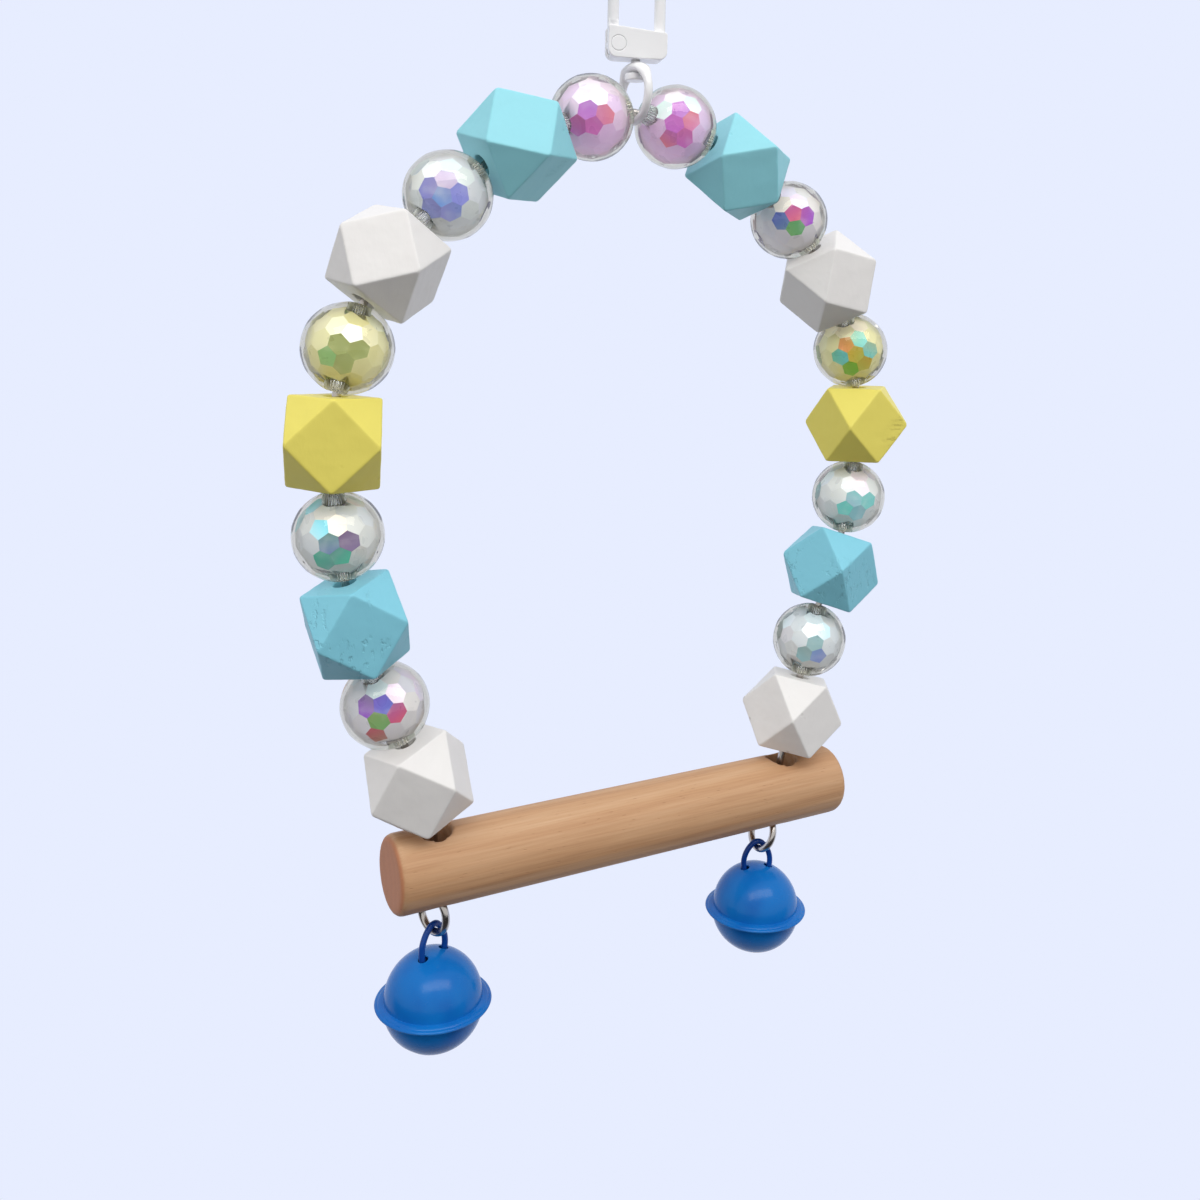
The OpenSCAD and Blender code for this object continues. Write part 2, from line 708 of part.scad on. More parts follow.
clasp_frame();
clasp_gate();
gate_rivet();
gate_spring();
swivel_pin();
swivel_ring();
arch_wire();
perch();
acrylic_bead(-1, 0);  // left_pink_bead
acrylic_core(-1, 0, pink);  // left_pink_core
wood_bead(-1, 1, sky);  // left_sky_bead
acrylic_bead(-1, 2);  // left_upper_clear_bead
acrylic_core(-1, 2, pearl);  // left_upper_clear_core
wood_bead(-1, 3, white_paint);  // left_upper_white_bead
acrylic_bead(-1, 4);  // left_lemon_bead
acrylic_core(-1, 4, lemon);  // left_lemon_core
wood_bead(-1, 5, yellow);  // left_yellow_bead
acrylic_bead(-1, 6);  // left_middle_clear_bead
acrylic_core(-1, 6, pearl);  // left_middle_clear_core
wood_bead(-1, 7, deep_sky);  // left_blue_bead
acrylic_bead(-1, 8);  // left_lower_clear_bead
acrylic_core(-1, 8, pearl);  // left_lower_clear_core
wood_bead(-1, 9, white_paint);  // left_lower_white_bead
acrylic_bead(1, 0);  // right_pink_bead
acrylic_core(1, 0, pink);  // right_pink_core
wood_bead(1, 1, sky);  // right_sky_bead
acrylic_bead(1, 2);  // right_upper_clear_bead
acrylic_core(1, 2, pearl);  // right_upper_clear_core
wood_bead(1, 3, white_paint);  // right_upper_white_bead
acrylic_bead(1, 4);  // right_lemon_bead
acrylic_core(1, 4, lemon);  // right_lemon_core
wood_bead(1, 5, yellow);  // right_yellow_bead
acrylic_bead(1, 6);  // right_middle_clear_bead
acrylic_core(1, 6, pearl);  // right_middle_clear_core
wood_bead(1, 7, deep_sky);  // right_blue_bead
acrylic_bead(1, 8);  // right_lower_clear_bead
acrylic_core(1, 8, pearl);  // right_lower_clear_core
wood_bead(1, 9, white_paint);  // right_lower_white_bead
bell_dome(-1);  // left_bell_dome
bell_cup(-1);  // left_bell_cup
bell_staple(-1);  // left_bell_staple
bell_ball(-1);  // left_bell_ball
bell_dome(1);  // right_bell_dome
bell_cup(1);  // right_bell_cup
bell_staple(1);  // right_bell_staple
bell_ball(1);  // right_bell_ball
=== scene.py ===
"""Bird swing: a beaded wire arch with a wooden perch and two bells, hung from a swivel clasp."""

import json
import logging
import math
import random
from contextlib import contextmanager
from dataclasses import dataclass, field
from enum import Enum
from typing import Callable, Iterator, Mapping, Sequence

import bpy
from mathutils import Matrix, Vector

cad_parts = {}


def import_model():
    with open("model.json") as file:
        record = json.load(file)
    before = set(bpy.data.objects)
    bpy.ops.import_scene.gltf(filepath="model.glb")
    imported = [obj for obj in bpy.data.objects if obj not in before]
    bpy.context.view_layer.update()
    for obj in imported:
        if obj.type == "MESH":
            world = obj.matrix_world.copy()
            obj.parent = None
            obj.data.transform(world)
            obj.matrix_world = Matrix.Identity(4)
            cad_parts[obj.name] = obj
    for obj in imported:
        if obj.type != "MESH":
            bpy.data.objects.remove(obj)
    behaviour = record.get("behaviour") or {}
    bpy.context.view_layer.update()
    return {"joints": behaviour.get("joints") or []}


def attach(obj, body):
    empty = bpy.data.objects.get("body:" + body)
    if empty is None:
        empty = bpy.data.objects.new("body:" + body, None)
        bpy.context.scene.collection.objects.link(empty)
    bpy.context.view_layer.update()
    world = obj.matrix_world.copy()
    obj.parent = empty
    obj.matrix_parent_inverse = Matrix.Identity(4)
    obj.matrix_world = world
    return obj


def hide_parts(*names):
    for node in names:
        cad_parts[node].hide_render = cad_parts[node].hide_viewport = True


MM = 0.001
LOG = logging.getLogger("bird_swing")
Colour = tuple[float, float, float, float]
Steps = tuple[tuple[float, float], ...]
Joints = Sequence[Mapping[str, object]]


def srgb(red: int, green: int, blue: int) -> Colour:
    """Turns a colour as it is seen on a screen, 0 to 255, into the linear colour that a shader takes.

    Args:
        red: red share, 0 to 255.
        green: green share, 0 to 255.
        blue: blue share, 0 to 255.

    Returns:
        The linear colour with full alpha.
    """
    shares = [c / 255 for c in (red, green, blue)]
    linear = [c / 12.92 if c <= 0.04045 else ((c + 0.055) / 1.055) ** 2.4 for c in shares]
    return (linear[0], linear[1], linear[2], 1.0)


def shades(*seen: tuple[int, int, int]) -> tuple[Colour, ...]:
    """Turns several screen colours into one palette."""
    return tuple(srgb(*colour) for colour in seen)


class Side(Enum):
    """The two legs of the arch, as the viewer sees them."""

    LEFT = "left"
    RIGHT = "right"


# ----------------------------------------
# Shader expressions


class Port:
    """One value inside a material, on which sums are written as plain expressions."""

    def __init__(self, graph: "Graph", socket: bpy.types.NodeSocket) -> None:
        """Keeps the socket and the graph that it belongs to."""
        self.graph = graph
        self.socket = socket

    def _math(self, operation: str, first: "Port | float", second: "Port | float" = 0.0) -> "Port":
        """Adds a Math node for two values."""
        return self.graph.node("ShaderNodeMath", {"operation": operation}, {0: first, 1: second})

    def __add__(self, other: "Port | float") -> "Port":
        """Sum of two values."""
        return self._math("ADD", self, other)

    def __radd__(self, other: float) -> "Port":
        """Sum with the number first."""
        return self._math("ADD", other, self)

    def __sub__(self, other: "Port | float") -> "Port":
        """Difference of two values."""
        return self._math("SUBTRACT", self, other)

    def __rsub__(self, other: float) -> "Port":
        """Difference with the number first."""
        return self._math("SUBTRACT", other, self)

    def __mul__(self, other: "Port | float") -> "Port":
        """Product of two values."""
        return self._math("MULTIPLY", self, other)

    def __rmul__(self, other: float) -> "Port":
        """Product with the number first."""
        return self._math("MULTIPLY", other, self)

    def most(self, other: "Port | float") -> "Port":
        """The larger of two values."""
        return self._math("MAXIMUM", self, other)

    def wave(self) -> "Port":
        """Sine of the value, in radians."""
        return self._math("SINE", self)

    def size(self) -> "Port":
        """The value without its sign."""
        return self._math("ABSOLUTE", self)

    def ramp(self, low: float, high: float) -> "Port":
        """A smooth step from 0 at low to 1 at high; low may be the larger."""
        settings = {"interpolation_type": "SMOOTHSTEP"}
        if low < high:
            return self.graph.node("ShaderNodeMapRange", settings, {0: self, 1: low, 2: high})
        return 1.0 - self.graph.node("ShaderNodeMapRange", settings, {0: self, 1: high, 2: low})


class Graph:
    """The node tree of one material or world."""

    def __init__(self, owner: "bpy.types.Material | bpy.types.World") -> None:
        """Empties the owner's node tree.

        Args:
            owner: the new material or world.
        """
        owner.use_nodes = True
        self.tree = owner.node_tree
        self.tree.nodes.clear()

    def node(
        self,
        kind: str,
        settings: Mapping[str, object] | None = None,
        inputs: Mapping[str | int, object] | None = None,
        output: str | int = 0,
    ) -> Port:
        """Adds any node: its settings first, then the values or links of its sockets.

        Args:
            kind: the node's type.
            settings: its properties; "stops" holds a colour ramp's (place, colour) pairs.
            inputs: a value or a Port for each socket, by name or number.
            output: the socket that the returned port stands for.

        Returns:
            The port of that output.
        """
        node = self.tree.nodes.new(kind)
        for key, value in (settings or {}).items():
            if key == "stops":
                while len(node.color_ramp.elements) < len(value):
                    node.color_ramp.elements.new(0.5)
                for element, (place, colour) in zip(node.color_ramp.elements, value):
                    element.position = place
                    element.color = colour
            else:
                setattr(node, key, value)
        for key, value in (inputs or {}).items():
            if isinstance(value, Port):
                self.tree.links.new(value.socket, node.inputs[key])
            else:
                node.inputs[key].default_value = value
        return Port(self, node.outputs[output])

    def place(self, stretch: Sequence[float] = (1.0, 1.0, 1.0), shift: Sequence[float] = (0.0, 0.0, 0.0)) -> Port:
        """Object coordinates, moved and then stretched.

        Args:
            stretch: factor along each axis.
            shift: metres taken off each coordinate first.

        Returns:
            The vector's port.
        """
        here = self.node("ShaderNodeTexCoord", output="Object")
        return self.vector("MULTIPLY", self.vector("SUBTRACT", here, tuple(shift)), tuple(stretch))

    def vector(self, operation: str, first: Port, second: object = (0.0, 0.0, 0.0), output: str = "Vector") -> Port:
        """Adds a Vector Math node, whose output is "Value" where it gives a number."""
        return self.node("ShaderNodeVectorMath", {"operation": operation}, {0: first, 1: second}, output)

    def facing(self) -> Port:
        """0 where the surface faces the ray and 1 at its outline."""
        return self.node("ShaderNodeLayerWeight", None, {"Blend": 0.5}, "Facing")

    def ray(self, kind: str) -> Port:
        """1 for rays of one kind and 0 for all others."""
        return self.node("ShaderNodeLightPath", output=f"Is {kind} Ray")

    def noise(self, vector: Port, scale: float, detail: float = 2.0, rough: float = 0.5) -> Port:
        """Cloudy noise, 0 to 1, with features 1/scale metres across."""
        inputs = {"Vector": vector, "Scale": scale, "Detail": detail, "Roughness": rough}
        return self.node("ShaderNodeTexNoise", None, inputs)

    def cells(self, vector: Port, scale: float) -> Port:
        """Distance to the nearest of scattered points, in cells."""
        return self.node("ShaderNodeTexVoronoi", None, {"Vector": vector, "Scale": scale})

    def blend(self, share: Port, first: "Port | Colour", second: "Port | Colour") -> Port:
        """Mixes two colours, from the first at 0 to the second at 1."""
        return self.node("ShaderNodeMix", {"data_type": "RGBA"}, {0: share, 6: first, 7: second}, 2)

    def bump(self, height: Port, depth: float) -> Port:
        """Surface relief that is depth metres high where the height is 1."""
        return self.node("ShaderNodeBump", None, {"Strength": 1.0, "Distance": depth, "Height": height})

    def surface(self, inputs: Mapping[str, object]) -> Port:
        """The main surface shader with the given sockets set."""
        return self.node("ShaderNodeBsdfPrincipled", None, inputs)

    def either(self, share: Port, first: Port, second: Port) -> Port:
        """Mixes two shaders, from the first at 0 to the second at 1."""
        return self.node("ShaderNodeMixShader", None, {0: share, 1: first, 2: second})

    def finish(self, shader: Port, target: str = "ShaderNodeOutputMaterial") -> None:
        """Joins a shader to the output."""
        output = self.tree.nodes.new(target)
        self.tree.links.new(shader.socket, output.inputs["Surface"])


# ----------------------------------------
# Finishes


@dataclass(frozen=True)
class Finish:
    """What one kind of surface looks like."""

    name: str
    slot: str

    def paint(self, graph: Graph) -> None:
        """Builds the node tree."""
        raise NotImplementedError

    def material(self) -> bpy.types.Material:
        """The finish's material, made once, under a name that no CAD material has.

        Returns:
            The material.
        """
        title = f"{self.name}_finish"
        known = bpy.data.materials.get(title)
        if known is None:
            known = bpy.data.materials.new(title)
            self.paint(Graph(known))
        return known

    def dress(self, obj: bpy.types.Object) -> None:
        """Puts the finish on an object, in place of what it had."""
        obj.data.materials.clear()
        obj.data.materials.append(self.material())


@dataclass(frozen=True)
class WoodPaint(Finish):
    """Satin paint brushed on a wooden block; wear above 1 adds shallow gouges."""

    colour: Colour = srgb(240, 240, 238)
    worn: Colour = srgb(200, 190, 180)
    wear: float = 1.0
    relief: float = 0.00007

    def paint(self, graph: Graph) -> None:
        """Brush marks, soft mottling, a few pits, hairline cracks and gouges."""
        here = graph.place()
        mottle = graph.noise(here, 160, 3)
        brush = graph.noise(graph.place((900, 260, 420)), 1, 4, 0.6)
        pits = graph.cells(here, 330).ramp(0.17, 0.05) * graph.noise(here, 90).ramp(0.56, 0.66)
        crack = (graph.noise(graph.place((60, 420, 1500)), 1, 3, 0.55) - 0.5).size().ramp(0.006, 0.002)
        crack = crack * graph.noise(here, 75, 1).ramp(0.72, 0.77)
        tone = mottle * 0.2 + brush * 0.14 + pits * 0.5 + crack * 0.35
        colour = graph.blend(tone.ramp(0.05, 1.15), self.colour, self.worn)
        gouges = graph.noise(graph.place((900, 620, 420)), 1, 3, 0.6).ramp(0.54, 0.64)
        gouges = gouges * graph.noise(here, 110).ramp(0.44, 0.58)
        relief = brush * 0.5 + mottle * 0.6 - pits * 1.6 - crack * 0.7 - gouges * (self.wear - 1.0)
        inputs = {
            "Base Color": colour,
            "Roughness": brush * 0.12 + 0.36,
            "Specular IOR Level": 0.2,
            "Normal": graph.bump(relief, self.relief),
        }
        graph.finish(graph.surface(inputs))


@dataclass(frozen=True)
class BareWood(Finish):
    """Sanded bare wood with its grain along X."""

    axis_z: float = -0.174755
    half: float = 0.0508
    middle: float = 0.0028
    heart: tuple[float, float] = (0.011, -0.006)
    sawn: tuple[float, float] = (0.0007, 0.0002)
    relief: float = 0.00005

    def paint(self, graph: Graph) -> None:
        """Growth bands, fibres and flecks along the dowel, and darker end grain."""
        origin = (self.middle, 0.0, self.axis_z)
        along = graph.place((1.0, 1.0, 1.0), origin)
        wander = graph.noise(graph.place((9, 60, 60), origin), 1, 2)
        heart = graph.place((0.06, 1, 1), (self.middle, self.heart[0], self.axis_z + self.heart[1]))
        ring = graph.vector("LENGTH", heart, output="Value")
        bands = ((ring + wander * 0.009) * 2900).wave() * 0.5 + 0.5
        fibre = graph.noise(graph.place((70, 2600, 2600), origin), 1, 3, 0.6)
        flecks = graph.cells(graph.place((330, 1700, 1700), origin), 1).ramp(0.2, 0.08)
        flecks = flecks * fibre.ramp(0.42, 0.6)
        tone = bands * 0.15 + fibre * 0.45 + wander * 0.42
        stops = [(0.25, srgb(214, 176, 140)), (0.52, srgb(201, 157, 118)), (0.85, srgb(176, 126, 86))]
        side = graph.node("ShaderNodeValToRGB", {"stops": stops}, {0: tone})
        side = graph.blend(flecks * 0.25, side, srgb(160, 106, 70))
        pores = graph.cells(along, 1500).ramp(0.32, 0.1)
        rings = bands * 0.1 + pores * 0.22 + wander * 0.2
        end = graph.blend(rings, srgb(196, 132, 94), srgb(158, 98, 68))
        x = graph.node("ShaderNodeSeparateXYZ", None, {0: along}, "X").size()
        cap = x.ramp(self.half - self.sawn[0], self.half - self.sawn[1])
        relief = fibre * 0.6 - flecks * 0.8
        inputs = {
            "Base Color": graph.blend(cap, side, end),
            "Roughness": fibre * 0.14 + 0.5,
            "Specular IOR Level": 0.35,
            "Normal": graph.bump(relief, self.relief),
        }
        graph.finish(graph.surface(inputs))


@dataclass(frozen=True)
class Enamel(Finish):
    """Glossy baked enamel that pools a little darker in places."""

    colour: Colour = srgb(240, 240, 242)
    pooled: Colour = srgb(215, 215, 220)
    roughness: float = 0.14
    peel: float = 0.00001
    gloss: float = 0.5
    coat: float = 0.3

    def paint(self, graph: Graph) -> None:
        """Slow pooling of the colour, fine orange peel and faint rubs."""
        here = graph.place()
        pool = graph.noise(here, 110, 2)
        peel = graph.noise(here, 1100, 2)
        rubs = graph.noise(graph.place((500, 2100, 700)), 1, 3).ramp(0.6, 0.75)
        inputs = {
            "Base Color": graph.blend(pool.ramp(0.35, 0.75) * 0.8, self.colour, self.pooled),
            "Roughness": self.roughness + rubs * 0.1,
            "Specular IOR Level": self.gloss,
            "Coat Weight": self.coat,
            "Coat Roughness": 0.05,
            "Normal": graph.bump(peel, self.peel),
        }
        graph.finish(graph.surface(inputs))


@dataclass(frozen=True)
class Steel(Finish):
    """Bright drawn steel."""

    colour: Colour = srgb(205, 200, 195)
    roughness: float = 0.16

    def paint(self, graph: Graph) -> None:
        """Fine drawing streaks and a slow change of tone."""
        here = graph.place()
        streak = graph.noise(graph.place((2600, 2600, 500)), 1, 2)
        tone = graph.noise(here, 140, 2)
        inputs = {
            "Base Color": graph.blend(tone.ramp(0.3, 0.8), self.colour, srgb(176, 168, 162)),
            "Metallic": 1.0,
            "Roughness": self.roughness + streak * 0.12,
            "Normal": graph.bump(streak, 0.000006),
        }
        graph.finish(graph.surface(inputs))


@dataclass(frozen=True)
class ClearAcrylic(Finish):
    """Clear moulded acrylic with a faint warm tint and specks; light passes through it onto the core."""

    tint: Colour = (0.95, 0.945, 0.91, 1.0)
    rim: Colour = (0.5, 0.455, 0.33, 1.0)
    outline: Colour = (0.5, 0.46, 0.36, 1.0)
    frost: Colour = (0.72, 0.76, 0.68, 1.0)
    speck: Colour = srgb(150, 140, 128)

    def paint(self, graph: Graph) -> None:
        """Tinted and warmer at its rim, with specks and flow lines, frosted in its bore, open to shadow rays."""
        here = graph.place()
        facing = graph.facing()
        depth = graph.blend(facing.ramp(0.25, 0.6), self.tint, self.rim)
        depth = graph.blend(facing.ramp(0.86, 0.98), depth, self.outline)
        specks = graph.cells(here, 900).ramp(0.12, 0.05) * graph.noise(here, 260).ramp(0.52, 0.62)
        flow = graph.noise(here, 300, 3)
        bore = graph.node("ShaderNodeAttribute", {"attribute_name": "bore"}, output="Fac")
        depth = graph.blend(bore, depth, self.frost)
        inputs = {
            "Base Color": graph.blend(specks * 0.7, depth, self.speck),
            "Roughness": specks * 0.2 + bore * 0.5 + 0.015,
            "IOR": 1.49,
            "Specular Tint": (0.86, 0.8, 0.68, 1.0),
            "Transmission Weight": 1.0,
            "Normal": graph.bump(flow - specks * 0.5, 0.00002),
        }
        clear = graph.node("ShaderNodeBsdfTransparent", None, {"Color": (0.95, 0.95, 0.95, 1.0)})
        graph.finish(graph.either(graph.ray("Shadow"), graph.surface(inputs), clear))


@dataclass(frozen=True)
class Film(Finish):
    """Strong colour film on the facets of an acrylic bead's core, fainter towards its outline; its palettes hold
    painted highlights, painted dark reflection and painted shade besides the film's own colours.
    """

    # near-white painted highlights, for facets that mirror the light above into a view
    bright: tuple[Colour, ...] = ()
    # the film's strong colours, darkened as painted reflection of the dark room, for facets that face a viewer
    vivid_painted_dark_reflection: tuple[Colour, ...] = ()
    pale: tuple[Colour, ...] = ()
    # painted shade colour, towards which the facets that face down are darkened
    painted_underside_shade: Colour = srgb(200, 200, 200)

    def paint(self, graph: Graph) -> None:
        """Each facet's colour from its film attribute, which holds painted highlights, painted dark reflection and
        painted shade, with a faint shimmer over it.
        """
        tint = graph.node("ShaderNodeAttribute", {"attribute_name": "film"}, output="Color")
        shimmer = graph.noise(graph.place(), 420, 1)
        inputs = {
            "Base Color": graph.blend(shimmer.ramp(0.45, 0.95) * 0.3, tint, self.pale[0]),
            "Metallic": 0.1,
            "Roughness": shimmer * 0.1 + 0.24,
            "Coat Weight": 0.1,
            "Coat Roughness": 0.1,
            "Alpha": 1.0 - graph.facing().ramp(0.55, 0.97) * 0.75,
            "Normal": graph.bump(shimmer, 0.00002),
        }
        graph.finish(graph.surface(inputs))


@dataclass(frozen=True)
class Finishes:
    """Every finish of the swing."""

    white_metal: Enamel = Enamel("white_enamel", "white_metal", srgb(252, 252, 253), srgb(242, 242, 245), 0.16)
    blue_bell: Enamel = Enamel(
        "blue_enamel", "blue_enamel", srgb(16, 114, 196), srgb(10, 92, 178), 0.2, 0.000012, 0.22, 0.0
    )
    navy: Enamel = Enamel(
        "navy_enamel", "navy_enamel", srgb(14, 70, 154), srgb(10, 52, 132), 0.24, 0.00001, 0.3, 0.0
    )
    wire: Steel = Steel("wire_steel", "wire_steel")
    spring: Steel = Steel("spring_steel", "spring_steel", srgb(190, 190, 192), 0.22)
    ball: Steel = Steel("ball_steel", "ball_steel", srgb(185, 182, 180), 0.3)
    perch: BareWood = BareWood("bare_beech", "beech")
    shell: ClearAcrylic = ClearAcrylic("clear_acrylic", "clear_acrylic")
    sky: WoodPaint = WoodPaint("sky_paint", "sky_paint", srgb(156, 226, 238), srgb(128, 205, 220))
    white: WoodPaint = WoodPaint("white_paint", "white_paint", srgb(240, 238, 236), srgb(210, 204, 198))
    yellow: WoodPaint = WoodPaint("yellow_paint", "yellow_paint", srgb(240, 227, 112), srgb(218, 198, 80))
    blue: WoodPaint = WoodPaint("blue_paint", "blue_paint", srgb(138, 210, 229), srgb(100, 176, 200), 2.6)
    # each film lists its painted highlights, its colours in painted dark reflection, its pale colours and its
    # painted shade colour
    pink_film: Film = Film(
        "pink_film",
        "pink_core",
        shades((255, 250, 252), (252, 238, 250), (228, 252, 242)),
        shades((170, 86, 214), (216, 120, 128), (176, 110, 190), (196, 98, 178)),
        shades((238, 212, 236), (232, 204, 232), (240, 220, 232)),
        srgb(226, 176, 210),
    )
    iris_film: Film = Film(
        "iris_film",
        "pearl_core",
        shades((253, 253, 246), (240, 252, 250), (232, 250, 252)),
        shades((128, 132, 200), (152, 148, 202), (104, 148, 206), (178, 158, 178)),
        shades((236, 236, 224), (226, 232, 226), (226, 226, 228)),
        srgb(196, 196, 188),
    )
    garden_film: Film = Film(
        "garden_film",
        "pearl_core",
        shades((132, 240, 250), (255, 228, 198), (244, 250, 246)),
        shades((112, 130, 166), (152, 138, 166), (88, 192, 152), (112, 178, 98), (116, 90, 124)),
        shades((236, 233, 222), (230, 231, 222), (222, 226, 224)),
        srgb(196, 192, 180),
    )
    party_film: Film = Film(
        "party_film",
        "pearl_core",
        shades((255, 232, 212), (246, 226, 244), (226, 248, 248)),
        shades((204, 78, 96), (88, 160, 96), (150, 76, 190), (78, 96, 184), (128, 158, 84)),
        shades((234, 228, 220), (230, 228, 222), (222, 220, 224)),
        srgb(198, 190, 188),
    )
    mint_film: Film = Film(
        "mint_film",
        "pearl_core",
        shades((250, 244, 244), (238, 206, 226), (226, 250, 244)),
        shades((112, 206, 186), (150, 216, 200), (128, 196, 190), (178, 162, 190)),
        shades((230, 232, 224), (224, 230, 224), (228, 226, 222)),
        srgb(196, 196, 186),
    )
    sea_film: Film = Film(
        "sea_film",
        "pearl_core",
        shades((112, 230, 246), (250, 252, 250), (190, 238, 246)),
        shades((122, 180, 206), (142, 146, 128), (134, 138, 190), (150, 190, 190)),
        shades((230, 230, 222), (222, 228, 226), (228, 224, 222)),
        srgb(194, 192, 184),
    )
    lemon_film: Film = Film(
        "lemon_film",
        "lemon_core",
        shades((255, 255, 220), (253, 251, 160), (255, 255, 246)),
        shades((146, 192, 112), (166, 176, 104), (160, 156, 80), (142, 138, 70), (150, 160, 90)),
        shades((240, 233, 172), (242, 235, 186), (236, 228, 160)),
        srgb(214, 204, 134),
    )
    lime_film: Film = Film(
        "lime_film",
        "lemon_core",
        shades((255, 226, 236), (255, 250, 190), (255, 240, 214)),
        shades((196, 160, 40), (112, 174, 66), (152, 190, 70), (206, 128, 54), (104, 190, 180)),
        shades((240, 233, 172), (236, 232, 176), (232, 224, 158)),
        srgb(206, 198, 128),
    )


# ----------------------------------------
# Bench: modelling by hand, in millimetres


class Part(Enum):
    """What a tool in edit mode works on."""

    VERTEX = ("vertices", (True, False, False))
    EDGE = ("edges", (False, True, False))
    FACE = ("polygons", (False, False, True))


class Workpiece:
    """A mesh on the bench, in millimetres until it is set in place."""

    def __init__(self, obj: bpy.types.Object, name: str) -> None:
        """Takes an object in hand and names it."""
        self.obj = obj
        obj.name = name
        obj.data.name = name

    @staticmethod
    def clear() -> None:
        """Leaves nothing selected, so that the next tool acts on one piece only."""
        bpy.ops.object.select_all(action="DESELECT")

    @staticmethod
    def of_node(node: str, name: str) -> "Workpiece":
        """A merged copy of a CAD node, on the bench in millimetres.

        Args:
            node: the CAD node.
            name: the copy's name.

        Returns:
            The copy.
        """
        Workpiece.clear()
        source = bpy.data.objects[node]
        source.select_set(True)
        bpy.context.view_layer.objects.active = source
        bpy.ops.object.duplicate(linked=False)
        piece = Workpiece(bpy.context.object, name)
        piece.obj.parent = None
        for key in list(piece.obj.keys()):
            del piece.obj[key]
        piece.obj.data.materials.clear()
        piece.obj.scale = (1 / MM, 1 / MM, 1 / MM)
        bpy.ops.object.transform_apply(location=False, rotation=False, scale=True)
        with piece.editing():
            bpy.ops.mesh.customdata_custom_splitnormals_clear()
            bpy.ops.mesh.remove_doubles(threshold=0.0005)
        return piece

    def pick(self) -> None:
        """Selects this piece alone."""
        Workpiece.clear()
        self.obj.select_set(True)
        bpy.context.view_layer.objects.active = self.obj

    def settle(self) -> "Workpiece":
        """Moves the object's place, turn and size into its mesh."""
        self.pick()
        bpy.ops.object.transform_apply(location=True, rotation=True, scale=True)
        return self

    @contextmanager
    def editing(self, part: Part = Part.FACE, chosen: Callable[..., bool] | None = None) -> Iterator[None]:
        """Edit mode with some of the mesh selected.

        Args:
            part: what is selected: vertices, edges or faces.
            chosen: says of each one whether it is selected; all of them without it.

        Yields:
            Nothing; the tools run inside.
        """
        self.pick()
        mesh = self.obj.data
        groups = {"vertices": mesh.vertices, "edges": mesh.edges, "polygons": mesh.polygons}
        for group in groups.values():
            group.foreach_set("select", [chosen is None] * len(group))
        if chosen is not None:
            for item in groups[part.value[0]]:
                item.select = chosen(item)
        bpy.context.tool_settings.mesh_select_mode = part.value[1]
        bpy.ops.object.mode_set(mode="EDIT")
        yield
        bpy.ops.object.mode_set(mode="OBJECT")

    def modify(self, kind: str, **settings: object) -> "Workpiece":
        """Adds a modifier and applies it.

        Args:
            kind: the modifier's type.
            settings: its properties.

        Returns:
            This piece.
        """
        self.pick()
        modifier = self.obj.modifiers.new(kind.title(), kind)
        for key, value in settings.items():
            setattr(modifier, key, value)
        bpy.ops.object.modifier_apply(modifier=modifier.name)
        return self

    def carve(self, tool: "Workpiece") -> "Workpiece":
        """Cuts the tool's shape out of this piece and throws the tool away."""
        self.modify("BOOLEAN", operation="DIFFERENCE", solver="EXACT", object=tool.obj)
        bpy.data.objects.remove(tool.obj)
        return self

    def soften(self, voxel: float, rounds: int) -> "Workpiece":
        """Rounds all edges, as a coat of paint or a casting does.

        Args:
            voxel: size of the new mesh's squares, in millimetres.
            rounds: how often the mesh is smoothed.

        Returns:
            This piece.
        """
        self.modify("REMESH", mode="VOXEL", voxel_size=voxel, use_smooth_shade=True)
        return self.modify("SMOOTH", factor=0.5, iterations=rounds)

    def shade(self, angle: float) -> "Workpiece":
        """Smooth shading across edges flatter than the angle, in degrees."""
        self.pick()
        bpy.ops.object.shade_smooth_by_angle(angle=math.radians(angle))
        return self

    def copy(self, name: str) -> "Workpiece":
        """A copy with its own mesh."""
        self.pick()
        bpy.ops.object.duplicate(linked=False)
        return Workpiece(bpy.context.object, name)

    def place(self, spot: Matrix) -> "Workpiece":
        """Sets the piece in the frame, in metres, with its object left at the origin."""
        self.obj.matrix_world = spot @ Matrix.Scale(MM, 4)
        return self.settle()

    def hand_over(self, finish: Finish, body: str, *nodes: str) -> None:
        """Dresses the piece, lets it ride on its body and stand for its nodes, and reports it.

        Args:
            finish: its finish.
            body: the body that carries it.
            nodes: the CAD nodes that it stands for.
        """
        finish.dress(self.obj)
        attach(self.obj, body)
        if nodes:
            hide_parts(*nodes)
        LOG.info("%s: %d faces, rides on %s", self.obj.name, len(self.obj.data.polygons), body)


def cylinder(
    radius: float, height: float, sides: int, name: str = "tool", at: Sequence[float] = (0, 0, 0)
) -> Workpiece:
    """An upright round bar on the bench.

    Args:
        radius: its radius in millimetres.
        height: its height.
        sides: how many sides it has.
        name: its name.
        at: its middle.

    Returns:
        The bar.
    """
    Workpiece.clear()
    bpy.ops.mesh.primitive_cylinder_add(vertices=sides, radius=radius, depth=height, location=at)
    return Workpiece(bpy.context.object, name).settle()


# ----------------------------------------
# Sub-assemblies


